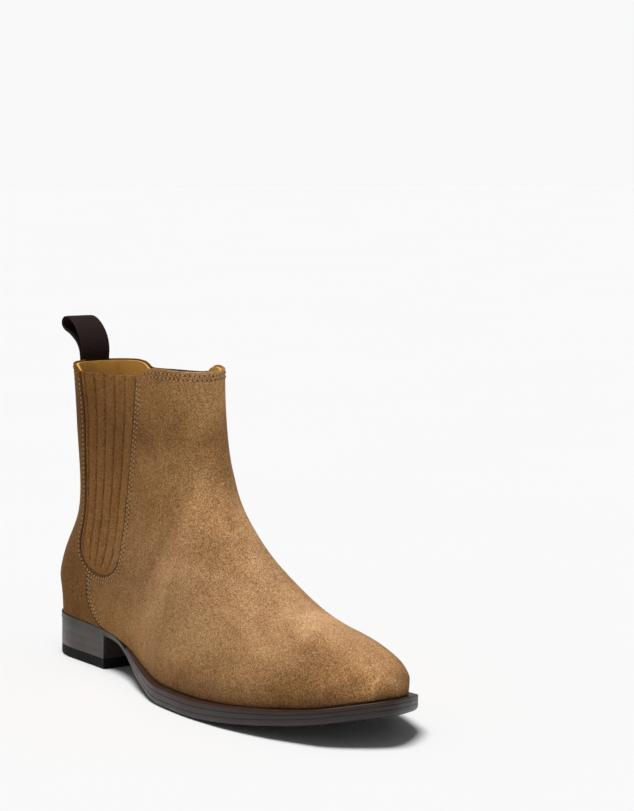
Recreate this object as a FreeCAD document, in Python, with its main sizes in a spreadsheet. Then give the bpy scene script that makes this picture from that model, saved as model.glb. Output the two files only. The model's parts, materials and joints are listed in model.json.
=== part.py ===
import FreeCAD, Part
import math
import os

# Chelsea boot for the wearer's right foot. Millimetres, +X towards the toe, +Y towards the
# inner (medial) side, +Z up. Shapes are drawn with x = 0 at the back of the heel and every
# object is then placed so that the origin is the middle of the heel's ground face.

Vec = FreeCAD.Vector
doc = FreeCAD.newDocument("chelsea_boot")

# ---------------------------------------------------------------- sizes
sheet = doc.addObject("Spreadsheet::Sheet", "Sizes")
SIZES = [
    ("sole_back", -4.5),
    ("sole_front", 305.0),
    ("heel_origin", 31.2),
    ("heel_breast", 67.0),
    ("top_piece_thickness", 6.0),
    ("lift_thickness", 4.6),
    ("outsole_thickness", 3.8),
    ("nail_radius", 1.3),
    ("nail_bottom", 8.0),
    ("nail_top", 27.4),
    ("suede_thickness", 1.6),
    ("stiffener_thickness", 0.9),
    ("lining_thickness", 1.2),
    ("cover_recess", 0.3),
    ("elastic_thickness", 0.8),
    ("layer_gap", 0.05),
    ("seam_gap", 0.2),
    ("insole_thickness", 2.2),
    ("sock_thickness", 1.0),
    ("pad_thickness", 3.0),
    ("shank_thickness", 1.3),
    ("shank_width", 15.0),
    ("shank_start", 40.0),
    ("shank_end", 150.0),
    ("welt_start", 98.0),
    ("counter_height", 60.0),
    ("puff_start", 248.0),
    ("break_x", 158.6),
    ("break_z", 98.6),
    ("tab_width", 20.0),
    ("tab_thickness", 1.2),
    ("tab_middle", -3.0),
    ("tab_root_z", 177.9),
]
for row, (alias, value) in enumerate(SIZES, start=1):
    sheet.set("A%d" % row, alias)
    sheet.set("B%d" % row, str(value))
    sheet.setAlias("B%d" % row, alias)
doc.recompute()


def size(alias):
    return float(sheet.get(alias))


# ---------------------------------------------------------------- curves of the shape
def smooth_curve(points):
    """Monotone cubic through (x, value) points, straight beyond its ends."""
    xs = [p[0] for p in points]
    ys = [p[1] for p in points]
    count = len(xs)
    step = [xs[i + 1] - xs[i] for i in range(count - 1)]
    slope = [(ys[i + 1] - ys[i]) / step[i] for i in range(count - 1)]
    tangent = [slope[0]]
    for i in range(1, count - 1):
        if slope[i - 1] * slope[i] <= 0:
            tangent.append(0.0)
        else:
            w1 = 2 * step[i] + step[i - 1]
            w2 = step[i] + 2 * step[i - 1]
            tangent.append((w1 + w2) / (w1 / slope[i - 1] + w2 / slope[i]))
    tangent.append(slope[-1])

    def value(x):
        if x <= xs[0]:
            return ys[0] + tangent[0] * (x - xs[0])
        if x >= xs[-1]:
            return ys[-1] + tangent[-1] * (x - xs[-1])
        i = 0
        while x > xs[i + 1]:
            i += 1
        t = (x - xs[i]) / step[i]
        a = 2 * t ** 3 - 3 * t ** 2 + 1
        b = t ** 3 - 2 * t ** 2 + t
        c = -2 * t ** 3 + 3 * t ** 2
        d = t ** 3 - t ** 2
        return a * ys[i] + b * step[i] * tangent[i] + c * ys[i + 1] + d * step[i] * tangent[i + 1]

    return value


def ease(t):
    t = min(max(t, 0.0), 1.0)
    return t * t * (3 - 2 * t)


def round_off(t, power=2.0, root=2.0):
    """0 to 1 as a superellipse quarter."""
    t = min(max(t, 0.0), 1.0)
    return (1 - (1 - t) ** power) ** (1 / root)


# Side view, (x, z): the back and the front of the upper's outside.
BACK = [(-2.8, 25), (-3.8, 37), (-5, 47), (-0.8, 61), (7.8, 76.3), (15.3, 90.4), (17.5, 107.5),
        (16.4, 132.5), (13.1, 162.4), (9.8, 197.4)]
FRONT = [(297.0, 23.3), (297.0, 29.8), (293.2, 37.6), (283.9, 43.9), (267.2, 49.4), (241, 53.4),
         (214, 59), (192.5, 68.6), (172.5, 83), (157.8, 98.3), (145.5, 116.4), (139.9, 133.8),
         (137.3, 150.7), (135.5, 170.7), (134.2, 200.5)]
# The plane where the upper meets the sole, and the ground side of the sole, as z over x.
sole_top = smooth_curve([(-6, 25), (20, 24.8), (40, 24.3), (55, 23.8), (67, 23.2), (85, 21.1),
                         (110, 17), (135, 12.6), (160, 10.5), (190, 10.3), (215, 11.5), (245, 14.2),
                         (275, 18), (305, 24.6)])
sole_bottom = smooth_curve([(-6, 21.2), (20, 21), (40, 20.6), (55, 20.3), (67, 20), (85, 17.4),
                            (96, 14), (110, 9.4), (125, 5.6), (140, 2.6), (152, 0.8), (162, 0),
                            (194, 0), (215, 1.5), (245, 5), (275, 9.6), (305, 16.2)])
# Half widths over x where the upper meets the sole, and over z up the shaft.
outer_half = smooth_curve([(0, 27.4), (25, 27.6), (67, 28.2), (95, 31.2), (125, 38.5), (160, 47),
                           (190, 48.5), (215, 47), (245, 41.5), (270, 33), (285, 25.5), (294, 19),
                           (300, 14)])
inner_half = smooth_curve([(0, 28), (25, 28.2), (67, 27.6), (95, 25), (125, 26.5), (160, 36.5),
                           (190, 44), (215, 45.5), (245, 42), (270, 34.5), (285, 27), (294, 20.5),
                           (300, 15)])
shaft_half = smooth_curve([(20, 30.8), (60, 30.2), (90, 27), (120, 26), (150, 25.6), (200, 27.5)])
# Half widths of the sole's edge over x.
outer_sole = smooth_curve([(-5, 28.4), (25, 28.5), (67, 29), (95, 32.4), (125, 41.8), (160, 51.2),
                           (190, 53), (215, 51.8), (245, 46.5), (270, 38), (285, 31), (295, 24.5),
                           (305, 18)])
inner_sole = smooth_curve([(-5, 29), (25, 29.1), (67, 28.5), (95, 26), (125, 28.5), (160, 40),
                           (190, 48.5), (215, 50.5), (245, 46.5), (270, 38.5), (285, 32),
                           (295, 26), (305, 19)])
# The edge of the top opening, as z over x.
topline = smooth_curve([(-20, 175.8), (20, 175.5), (27, 174.4), (34, 171.3), (60, 172.2),
                        (96.5, 174.2), (103.5, 177.9), (112, 179), (136, 178.2), (160, 178)])
# The elastic panel's outline in side view, from its back top corner round to its front one.
GUSSET = [(32, 190), (34.6, 171), (39.6, 140), (41.4, 108), (41.6, 90), (40, 74), (41.5, 65.5),
          (48.5, 58.2), (57.3, 55), (68.8, 55.3), (79.5, 59.6), (84.8, 66), (86.2, 76), (87.5, 95),
          (90, 115), (92.6, 140), (96.2, 173), (98, 190)]
# The side seam below the elastic panel, from the panel down to the sole.
SIDE_SEAM = [(47.4, 60), (47.3, 50), (47.4, 41.8), (49, 35.7), (53, 30.5), (58.5, 26), (66, 18)]


def spline_edge(points):
    curve = Part.BSplineCurve()
    curve.interpolate(points)
    return curve.toShape()


def profile(points, samples):
    """Evenly spaced points along a smooth curve through (x, z) points."""
    edge = spline_edge([Vec(x, 0, z) for x, z in points])
    return [(p.x, p.z) for p in edge.discretize(samples)]


def nearest(line, x, z):
    """Distance from (x, z) to a polyline, and the closest point and direction on it."""
    best = None
    for (ax, az), (bx, bz) in zip(line[:-1], line[1:]):
        dx = bx - ax
        dz = bz - az
        t = ((x - ax) * dx + (z - az) * dz) / (dx * dx + dz * dz)
        t = min(max(t, 0.0), 1.0)
        px = ax + t * dx
        pz = az + t * dz
        gap = math.hypot(x - px, z - pz)
        if best is None or gap < best[0]:
            best = (gap, px, pz, abs(dx) / math.hypot(dx, dz))
    return best


back_line = profile(BACK, 90)
front_line = profile(FRONT, 140)
ridge_line = front_line[6:]


def half_width(x, z, lateral):
    """Half width of the upper at a side-view point."""
    front_gap, ridge_x, ridge_z, level = nearest(ridge_line, x, z)
    back_gap = nearest(back_line, x, z)[0]
    shaft = ease((ridge_z - 85) / 60)
    front_radius = (ridge_z - sole_top(ridge_x)) * max(level, 0.35) * (1 - shaft) + 52 * shaft
    front_radius = max(front_radius, 12.0)
    foot = (outer_half if lateral else inner_half)(min(max(x, 0.0), 300.0))
    height = z - sole_top(min(max(x, 0.0), 300.0))
    rise = ease(height / 70)
    behind = foot * (1 - rise) + shaft_half(min(max(z, 20.0), 200.0)) * rise
    ahead = ease((x - 105) / 85)
    width = foot * ahead + behind * (1 - ahead)
    tip = round_off((300 - x) / 26, 2, 1.9) if x > 250 else 1.0
    turn = ease((z - 80) / 60)
    back_radius = 36 * (1 - turn) + 24 * turn
    heel = round_off(back_gap / back_radius, 2.5 * (1 - turn) + 2.6 * turn)
    bulge = 1 + 0.035 * math.sin(math.pi * min(max(height / 34, 0), 1)) * ease((x - 120) / 60)
    return width * round_off(front_gap / front_radius, 2.15) * tip * heel * bulge


def blend_side(xi, v):
    """Side-view point at a fraction xi from back to front and v from sole to top."""
    back = back_line[0], back_line[-1]
    front = front_line[0], front_line[-1]
    bx, bz = sample(back_line, v)
    fx, fz = sample(front_line, v)
    x0 = back[0][0] + (front[0][0] - back[0][0]) * xi
    z0 = sole_top(x0) + (back[0][1] - sole_top(back[0][0])) * (1 - xi)
    z0 += (front[0][1] - sole_top(front[0][0])) * xi
    x1 = back[1][0] + (front[1][0] - back[1][0]) * xi
    z1 = back[1][1] + (front[1][1] - back[1][1]) * xi
    corner_x = ((1 - xi) * (1 - v) * back[0][0] + (1 - xi) * v * back[1][0]
                + xi * (1 - v) * front[0][0] + xi * v * front[1][0])
    corner_z = ((1 - xi) * (1 - v) * back[0][1] + (1 - xi) * v * back[1][1]
                + xi * (1 - v) * front[0][1] + xi * v * front[1][1])
    x = (1 - v) * x0 + v * x1 + (1 - xi) * bx + xi * fx - corner_x
    z = (1 - v) * z0 + v * z1 + (1 - xi) * bz + xi * fz - corner_z
    return x, z


def sample(line, t):
    place = t * (len(line) - 1)
    i = min(int(place), len(line) - 2)
    f = place - i
    return (line[i][0] * (1 - f) + line[i + 1][0] * f, line[i][1] * (1 - f) + line[i + 1][1] * f)


AROUND = 56
UP = 24
grid = []
for j in range(UP + 1):
    ring = []
    for i in range(AROUND):
        u = i / AROUND
        lateral = u <= 0.5
        xi = (1 - math.cos(2 * math.pi * u)) / 2
        x, z = blend_side(xi, j / UP)
        half = 0.0 if i in (0, AROUND // 2) else half_width(x, z, lateral)
        ring.append(Vec(x, -half if lateral else half, z))
    grid.append(ring)


def normal(j, i):
    """Outward direction of the upper's surface at a grid point."""
    along = grid[j][(i + 1) % AROUND] - grid[j][i - 1]
    up = grid[min(j + 1, UP)][i] - grid[max(j - 1, 0)][i]
    out = along.cross(up)
    return out / out.Length


normals = [[normal(j, i) for i in range(AROUND)] for j in range(UP + 1)]


def ring_wire(points):
    """Closed smooth wire with the same even parameters on every ring."""
    curve = Part.BSplineCurve()
    count = len(points)
    curve.interpolate(Points=points, PeriodicFlag=True, Parameters=[k / count for k in range(count + 1)])
    return Part.Wire(curve.toShape())


def last_solid(inset):
    """Closed solid inside the upper's outside by the inset, capped below and above the boot."""
    rings = [[grid[j][i] - normals[j][i] * inset for i in range(AROUND)] for j in range(UP + 1)]
    floor = [Vec(p.x, p.y, -8 - inset) for p in rings[0]]
    ceiling = [Vec(p.x, p.y, 206 + inset) for p in rings[-1]]
    rows = [floor] + rings + [ceiling]
    poles = [[row[i] for row in rows] for i in range(AROUND)]
    spans = len(rows) - 3
    surface = Part.BSplineSurface()
    surface.buildFromPolesMultsKnots(poles, [1] * (AROUND + 1), [4] + [1] * (spans - 1) + [4],
                                     list(range(AROUND + 1)), list(range(spans + 1)), True, False, 3, 3)
    wall = surface.toShape()
    rims = [edge for edge in wall.Edges if edge.BoundBox.ZLength < 1.0]
    caps = [Part.Face(Part.Wire(edge)) for edge in rims]
    skin = Part.makeCompound([wall] + caps)
    skin.sewShape()
    solid = Part.Solid(skin.Shells[0])
    if solid.Volume < 0:
        solid.reverse()
    return solid


def layer(start, thickness):
    """Skin of the given thickness, its outside the start distance in from the upper's."""
    return last_solid(start).cut(last_solid(start + thickness))


# ---------------------------------------------------------------- cutting shapes
REACH = 90.0


def side_prism(pieces):
    """Solid across the whole boot from a closed side-view outline of lines and curves."""
    edges = []
    for points in pieces:
        corners = [Vec(x, -REACH, z) for x, z in points]
        if len(corners) == 2:
            edges.append(Part.makeLine(corners[0], corners[1]))
        else:
            edges.append(spline_edge(corners))
    return Part.Face(Part.Wire(edges)).extrude(Vec(0, 2 * REACH, 0))


def steps(start, end, count=24):
    return [start + (end - start) * k / count for k in range(count + 1)]


def over(height, start, end, count=24):
    return [(x, height(x)) for x in steps(start, end, count)]


def band(low, high, start, end, count=24):
    """Prism between two heights given over x."""
    bottom = over(low, start, end, count)
    top = over(high, end, start, count)
    return side_prism([bottom, [bottom[-1], top[0]], top, [top[-1], bottom[0]]])


def plan_prism(points, low, high):
    """Upright solid from a closed plan outline."""
    wire = ring_wire([Vec(x, y, low) for x, y in points])
    return Part.Face(wire).extrude(Vec(0, 0, high - low))


def inset_plan(points, inset):
    moved = []
    count = len(points)
    for i in range(count):
        dx = points[(i + 1) % count][0] - points[i - 1][0]
        dy = points[(i + 1) % count][1] - points[i - 1][1]
        long = math.hypot(dx, dy)
        moved.append((points[i][0] - dy / long * inset, points[i][1] + dx / long * inset))
    return moved


def inset_side(points, inset):
    """Side-view outline moved inwards (to the left of its direction)."""
    moved = []
    last = len(points) - 1
    for i, (x, z) in enumerate(points):
        ax, az = points[max(i - 1, 0)]
        bx, bz = points[min(i + 1, last)]
        long = math.hypot(bx - ax, bz - az)
        moved.append((x - (bz - az) / long * inset, z + (bx - ax) / long * inset))
    return moved


sole_back = size("sole_back")
sole_front = size("sole_front")
PLAN = 64
sole_plan = []
for k in range(PLAN):
    u = k / PLAN
    x = sole_back + (sole_front - sole_back) * (1 - math.cos(2 * math.pi * u)) / 2
    ends = round_off((x - sole_back) / 36, 2.5) * round_off((sole_front - x) / 24, 2, 1.9)
    sole_plan.append((x, (-outer_sole(x) if u <= 0.5 else inner_sole(x)) * ends))
feather_plan = [(p.x, p.y) for p in grid[0]]

gap = size("seam_gap") / 2
above_sole = side_prism([over(lambda x: sole_top(x) + 0.05, -30, 330, 60), [(330, sole_top(330) + 0.05), (330, 230)],
                         [(330, 230), (-30, 230)], [(-30, 230), (-30, sole_top(-30) + 0.05)]])
below_topline = side_prism([over(topline, -30, 170, 60), [(170, topline(170)), (330, topline(170))],
                            [(330, topline(170)), (330, -20)], [(330, -20), (-30, -20)],
                            [(-30, -20), (-30, topline(-30))]])
open_shell = above_sole.common(below_topline)


def gusset_prism(inset):
    outline = inset_side(GUSSET, inset)
    return side_prism([outline, [outline[-1], outline[0]]])


def quarter_prism(inset):
    """Everything behind the elastic panel and the side seam."""
    rear = [(x - inset, z) for x, z in GUSSET[:6] + [(42, 66), (47, 58)]]
    seam = [(x - inset, z) for x, z in SIDE_SEAM[1:]]
    low = (seam[-1][0], -20)
    return side_prism([rear, [rear[-1], seam[0]], seam, [seam[-1], low], [low, (-30, -20)],
                       [(-30, -20), (-30, 190)], [(-30, 190), rear[0]]])


break_x = size("break_x")
break_z = size("break_z")
BREAK_BACK = (60.0, 74.0)
SWING_GAP = 0.7
SWING_STEPS = 8
SWING_ANGLE = 10.0


def break_prism(shift):
    """Everything above the ankle break line, which runs back from the hinge axis."""
    rear = (BREAK_BACK[0], BREAK_BACK[1] + shift)
    axis = (break_x, break_z + shift)
    ahead = (200.0, break_z + shift + 60)
    corners = [rear, axis, ahead, (200.0, 230.0), (rear[0], 230.0), rear]
    return side_prism([[a, b] for a, b in zip(corners[:-1], corners[1:])])


# ---------------------------------------------------------------- the upper's layers
suede = size("suede_thickness")
stiffener = size("stiffener_thickness")
lining = size("lining_thickness")
step = size("layer_gap")
elastic = size("elastic_thickness")
recess = size("cover_recess")

stiffener_start = suede + step
lining_start = stiffener_start + stiffener + step
INNER_FACE = lining_start + lining

suede_shell = layer(0.0, suede).common(open_shell)
lining_shell = layer(lining_start, lining).common(open_shell)
stiffener_shell = layer(stiffener_start, stiffener).common(open_shell)
cover_shell = layer(recess, suede - 0.3 - recess).common(open_shell)
elastic_shell = layer(suede, elastic).common(open_shell)

shapes = {}
keep_out = gusset_prism(-gap).fuse(quarter_prism(-gap))
front_suede = suede_shell.cut(keep_out)
front_lining = lining_shell.cut(keep_out)
shapes["vamp"] = front_suede.cut(break_prism(-gap))
shapes["vamp_shaft"] = front_suede.common(break_prism(gap))
shapes["vamp_lining"] = front_lining.cut(break_prism(-gap))
shapes["shaft_lining"] = front_lining.common(break_prism(gap))
rear_prism = quarter_prism(gap)
shapes["back_quarter"] = suede_shell.common(rear_prism)
shapes["quarter_lining"] = lining_shell.common(rear_prism)

outer_half_space = Part.makeBox(400, REACH, 300, Vec(-50, -REACH, -30))
inner_half_space = Part.makeBox(400, REACH, 300, Vec(-50, 0, -30))
# The panel keeps clear of the quarter behind it and of the shaft's front as that swings.
panel = gusset_prism(gap).cut(quarter_prism(-gap))
swinging = break_prism(0).cut(keep_out)
for turn in range(SWING_STEPS + 1):
    turned = swinging.copy()
    turned.rotate(Vec(break_x, 0, break_z), Vec(0, 1, 0), SWING_ANGLE * turn / SWING_STEPS)
    turned.translate(Vec(-SWING_GAP, 0, 0))
    panel = panel.cut(turned)
panel = max(panel.Solids, key=lambda solid: solid.Volume)
for side, half_space in (("lateral", outer_half_space), ("medial", inner_half_space)):
    shapes["gusset_cover_" + side] = cover_shell.common(panel).common(half_space)
    shapes["gusset_elastic_" + side] = elastic_shell.common(panel).common(half_space)

counter_top = size("counter_height")
counter_side = [(-20, counter_top), (15, counter_top - 2), (45, counter_top - 16),
                (72, counter_top - 33)]
counter_prism = side_prism([counter_side, [(72, counter_top - 33), (72, 0)], [(72, 0), (-20, 0)],
                            [(-20, 0), (-20, counter_top)]])
shapes["heel_counter"] = stiffener_shell.common(counter_prism)
puff_start = size("puff_start")
puff_box = Part.makeBox(100, 2 * REACH, 100, Vec(puff_start, -REACH, 0))
shapes["toe_puff"] = stiffener_shell.common(puff_box)

# ---------------------------------------------------------------- the sole, from the ground up
outsole_thickness = size("outsole_thickness")
welt_start = size("welt_start")


def outsole_top(x):
    return min(sole_bottom(x) + outsole_thickness, sole_top(x))


def midsole_top(x):
    return outsole_top(x) + (sole_top(x) - outsole_top(x)) * 0.52


sole_block = plan_prism(sole_plan, -20, 60)
FLAT = (163.0, 193.0)
bottom_parts = [over(sole_bottom, -12, FLAT[0], 36), [(FLAT[0], 0.0), (FLAT[1], 0.0)],
                over(sole_bottom, FLAT[1], 310, 20)]
top_run = over(outsole_top, 310, -12, 60)
sole_side = side_prism(bottom_parts + [[bottom_parts[-1][-1], top_run[0]], top_run,
                                       [top_run[-1], bottom_parts[0][0]]])
nail_places = [(12, 0), (22, -19), (22, 18), (46, -20), (46, 18)]
nail_low = size("nail_bottom")
nail_high = size("nail_top")
nail_radius = size("nail_radius")
nail_tools = [Part.makeCylinder(nail_radius, nail_high - nail_low, Vec(x, y, nail_low))
              for x, y in nail_places]
nail_tool = Part.makeCompound(nail_tools)
shapes["outsole"] = sole_block.common(sole_side).cut(nail_tool)

front_block = sole_block.common(Part.makeBox(300, 2 * REACH, 100, Vec(welt_start, -REACH, -20)))
shapes["midsole"] = front_block.common(
    band(lambda x: outsole_top(x) + 0.02, midsole_top, welt_start - 5, 310))
welt_band = band(lambda x: midsole_top(x) + 0.02, sole_top, welt_start - 5, 310)
welt_core = plan_prism(inset_plan(feather_plan, INNER_FACE + 0.4), -20, 60)
shapes["welt"] = front_block.common(welt_band).cut(welt_core)

insole_thickness = size("insole_thickness")
pad = size("pad_thickness")
sock = size("sock_thickness")
shank_gap = size("shank_thickness") + 0.2
pad_rise = smooth_curve([(-12, pad), (62, pad), (84, 0.1), (320, 0.1)])


def insole_low(x):
    return sole_top(x) + shank_gap


def insole_high(x):
    return insole_low(x) + insole_thickness


def sock_low(x):
    return insole_high(x) + pad_rise(x)


filler_plan = plan_prism(inset_plan(feather_plan, INNER_FACE + 0.8), -20, 80)
insole_plan = plan_prism(inset_plan(feather_plan, INNER_FACE + 0.5), -20, 80)
sock_plan = plan_prism(inset_plan(feather_plan, INNER_FACE + 0.9), -20, 80)
filler_start = size("shank_end") + 3
# Everything that lies inside keeps clear of the lining.
foot_space = last_solid(INNER_FACE + 0.4)
filler_band = band(lambda x: midsole_top(x) + 0.05, lambda x: insole_low(x) - 0.15, filler_start, 300)
shapes["cork_filler"] = filler_plan.common(filler_band).common(foot_space)
insole = insole_plan.common(band(insole_low, insole_high, -14, 310, 60)).common(foot_space)
shapes["insole_board"] = insole.cut(nail_tool)
shapes["sock_liner"] = sock_plan.common(foot_space).common(
    band(lambda x: sock_low(x) + 0.05, lambda x: sock_low(x) + sock, -14, 310, 60))
pad_box = Part.makeBox(70, 2 * REACH, 100, Vec(-8, -REACH, 0))
pad_plan = plan_prism(inset_plan(feather_plan, INNER_FACE + 3.5), -20, 80)
shapes["heel_pad"] = pad_plan.common(pad_box).common(
    band(lambda x: insole_high(x) + 0.12, lambda x: sock_low(x) - 0.15, -14, 70))

shank_start = size("shank_start")
shank_end = size("shank_end")
shank_width = size("shank_width")
shank_strip = Part.makeBox(shank_end - shank_start, shank_width, 100,
                           Vec(shank_start, -shank_width / 2, 0))
shapes["steel_shank"] = shank_strip.common(
    band(lambda x: sole_top(x) + 0.05, lambda x: insole_low(x) - 0.15, 20, 170))

# ---------------------------------------------------------------- the pull tab
tab_width = size("tab_width")
tab_thickness = size("tab_thickness")
root_z = size("tab_root_z")
tab_edge = size("tab_middle") - tab_width / 2
tab_slot = Part.makeBox(60, tab_width, 26, Vec(-20, tab_edge, 150))
shapes["pull_tab_ends"] = stiffener_shell.common(tab_slot)
# Side view of the folded ribbon, from its rear root round the fold to its front root.
TAB = [(12.7, root_z), (10.2, 182.6), (5, 187.2), (-1.5, 190.6), (-7.2, 193), (-9.6, 196.4),
       (-7.6, 200), (-2.4, 200.6), (4.6, 197.6), (11.4, 191), (15.2, 184.4), (16.3, root_z)]
inside = inset_side(TAB, -tab_thickness)
inside[0] = (inside[0][0], root_z)
inside[-1] = (inside[-1][0], root_z)
outer_run = [Vec(x, tab_edge, z) for x, z in TAB]
inner_run = [Vec(x, tab_edge, z) for x, z in reversed(inside)]
ribbon = Part.Face(Part.Wire([spline_edge(outer_run), Part.makeLine(outer_run[-1], inner_run[0]),
                              spline_edge(inner_run), Part.makeLine(inner_run[-1], outer_run[0])]))
shapes["pull_tab_loop"] = ribbon.extrude(Vec(0, tab_width, 0))

# ---------------------------------------------------------------- objects in the document
shift_x = -size("heel_origin")
nodes = []


def place(obj, name, z=0.0):
    obj.Label = name
    obj.Placement = FreeCAD.Placement(Vec(shift_x, 0, z), FreeCAD.Rotation())
    nodes.append(obj)


# Each of these is one piece; cutting may leave a crumb of it behind a seam, which is dropped.
for name, shape in shapes.items():
    feature = doc.addObject("Part::Feature", "shape_" + name)
    feature.Shape = max(shape.Solids, key=lambda solid: solid.Volume)
    place(feature, name)

# The heel: a rubber top piece under three leather lifts, all cut to one outline.
breast = size("heel_breast")
heel_plan = Part.Face(ring_wire([Vec(x, y, 0) for x, y in inset_plan(sole_plan, 0.3)]))
heel_cut = Part.makeBox(breast + 20, 2 * REACH, 1, Vec(-20, -REACH, 0)).Faces
heel_floor = [f for f in heel_cut if abs(f.CenterOfMass.z) < 1e-6][0]
outline = doc.addObject("Part::Feature", "heel_outline")
outline.Shape = heel_plan.common(heel_floor).Faces[0]

nails = []
for number, (x, y) in enumerate(nail_places, start=1):
    nail = doc.addObject("Part::Cylinder", "nail_%d" % number)
    nail.setExpression("Radius", "Sizes.nail_radius")
    nail.setExpression("Height", "Sizes.nail_top - Sizes.nail_bottom")
    nail.Placement = FreeCAD.Placement(Vec(x, y, nail_low), FreeCAD.Rotation())
    nails.append(nail)
nail_set = doc.addObject("Part::Compound", "nail_set")
nail_set.Links = nails
place(nail_set, "heel_nails")
cutter = doc.addObject("Part::Compound", "nail_cutter")
cutter.Links = nails


sole_tool = doc.addObject("Part::Feature", "sole_underside")
sole_tool.Shape = sole_side


def heel_layer(name, thickness, base, under_sole=False):
    block = doc.addObject("Part::Extrusion", name + "_block")
    block.Base = outline
    block.DirMode = "Custom"
    block.Dir = Vec(0, 0, 1)
    block.setExpression("LengthFwd", thickness + (" * 1.5" if under_sole else ""))
    block.Solid = True
    block.setExpression("Placement.Base.z", base)
    if under_sole:
        trimmed = doc.addObject("Part::Cut", name + "_trimmed")
        trimmed.Base = block
        trimmed.Tool = sole_tool
        block = trimmed
    cut = doc.addObject("Part::Cut", name)
    cut.Base = block
    cut.Tool = cutter
    place(cut, name)


heel_layer("heel_top_piece", "Sizes.top_piece_thickness", "0")
stack = "Sizes.top_piece_thickness + %d * Sizes.lift_thickness + 0.02"
heel_layer("heel_lift_lower", "Sizes.lift_thickness", stack % 0)
heel_layer("heel_lift_middle", "Sizes.lift_thickness", stack % 1)
# The upper lift is a little wedge that follows the underside of the outsole.
heel_layer("heel_lift_upper", "Sizes.lift_thickness", stack % 2, under_sole=True)

doc.recompute()

# ---------------------------------------------------------------- checks and files
os.makedirs("parts", exist_ok=True)
for obj in doc.Objects:
    if any(state in ("Invalid", "Error") for state in obj.State):
        raise RuntimeError("object %s is in state %s" % (obj.Name, obj.State))
faults = []
for obj in nodes:
    shape = obj.Shape
    if shape.isNull() or not shape.isValid():
        faults.append(obj.Label)
        continue
    box = shape.BoundBox
    print("%-24s solids %d volume %9.1f  x %7.1f %7.1f  y %6.1f %6.1f  z %6.1f %6.1f" % (
        obj.Label, len(shape.Solids), shape.Volume, box.XMin, box.XMax, box.YMin, box.YMax,
        box.ZMin, box.ZMax))
    shape.exportStep("parts/%s.step" % obj.Label)
print("nodes", len(nodes))
if faults:
    raise RuntimeError("shapes not valid: " + ", ".join(faults))
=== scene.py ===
import json
import math

import bmesh
import bpy
import numpy as np
from mathutils import Matrix, Vector


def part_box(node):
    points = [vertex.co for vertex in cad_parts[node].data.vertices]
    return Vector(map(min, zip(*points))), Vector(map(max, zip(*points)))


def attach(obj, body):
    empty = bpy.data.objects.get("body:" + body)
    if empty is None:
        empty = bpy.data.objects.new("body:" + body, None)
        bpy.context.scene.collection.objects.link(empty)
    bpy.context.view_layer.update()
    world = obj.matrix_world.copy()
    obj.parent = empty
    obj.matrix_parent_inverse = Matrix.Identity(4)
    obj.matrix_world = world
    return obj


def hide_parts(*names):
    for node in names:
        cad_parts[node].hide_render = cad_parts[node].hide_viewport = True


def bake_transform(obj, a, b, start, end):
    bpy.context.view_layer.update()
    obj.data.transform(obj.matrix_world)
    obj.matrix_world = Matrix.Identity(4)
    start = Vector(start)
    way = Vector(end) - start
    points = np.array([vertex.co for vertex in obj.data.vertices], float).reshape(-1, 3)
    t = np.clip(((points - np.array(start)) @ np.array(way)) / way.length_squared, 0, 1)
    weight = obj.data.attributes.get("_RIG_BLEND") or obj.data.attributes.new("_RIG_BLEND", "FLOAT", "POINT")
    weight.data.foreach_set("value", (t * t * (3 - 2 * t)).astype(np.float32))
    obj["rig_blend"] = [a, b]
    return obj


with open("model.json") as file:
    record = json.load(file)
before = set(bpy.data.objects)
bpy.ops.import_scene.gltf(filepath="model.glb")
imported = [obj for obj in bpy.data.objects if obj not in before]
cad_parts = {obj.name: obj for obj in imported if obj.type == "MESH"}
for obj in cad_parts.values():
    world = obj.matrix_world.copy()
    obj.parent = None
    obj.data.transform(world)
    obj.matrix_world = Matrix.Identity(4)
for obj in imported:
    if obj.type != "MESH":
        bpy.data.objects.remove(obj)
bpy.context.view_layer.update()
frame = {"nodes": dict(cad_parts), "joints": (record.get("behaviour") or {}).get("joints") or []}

# The shape is written in millimetres from the back of the heel, as a boot maker draws it.
# The frame's own outsole says where that is in the row.
MM = 0.001
SOLE_BACK = -4.5
HEEL_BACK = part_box("outsole")[0].x - SOLE_BACK * MM
BOOT = "boot"
SHAFT = "shaft_front"
TAB = "pull_tab"


# ---------------------------------------------------------------- curves
def unit(v):
    """Vectors of length one."""
    return v / np.linalg.norm(v, axis=-1, keepdims=True)


def run_of(line):
    """Distance along a line at each of its points."""
    return np.concatenate([[0], np.cumsum(np.linalg.norm(np.diff(line, axis=0), axis=1))])


def sample(place, places, line):
    """Points of a line, read at new places between its own."""
    return np.stack([np.interp(place, places, column) for column in line.T], -1)


def smooth_curve(points):
    """Monotone cubic through (x, value) points, straight beyond its ends."""
    xs, ys = np.array(points, float).T
    step = np.diff(xs)
    slope = np.diff(ys) / step
    tangent = np.zeros(len(xs))
    tangent[0] = slope[0]
    tangent[-1] = slope[-1]
    for i in range(1, len(xs) - 1):
        if slope[i - 1] * slope[i] > 0:
            w1 = 2 * step[i] + step[i - 1]
            w2 = step[i] + 2 * step[i - 1]
            tangent[i] = (w1 + w2) / (w1 / slope[i - 1] + w2 / slope[i])

    def value(x):
        x = np.asarray(x, float)
        i = np.clip(np.searchsorted(xs, x) - 1, 0, len(xs) - 2)
        h = step[i]
        t = np.clip((x - xs[i]) / h, 0, 1)
        inside = ((2 * t**3 - 3 * t**2 + 1) * ys[i] + (t**3 - 2 * t**2 + t) * h * tangent[i]
                  + (3 * t**2 - 2 * t**3) * ys[i + 1] + (t**3 - t**2) * h * tangent[i + 1])
        before = tangent[0] * np.minimum(x - xs[0], 0)
        after = tangent[-1] * np.maximum(x - xs[-1], 0)
        return inside + before + after

    return value


def ease(t):
    """0 to 1 with level ends."""
    t = np.clip(t, 0, 1)
    return t * t * (3 - 2 * t)


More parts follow.
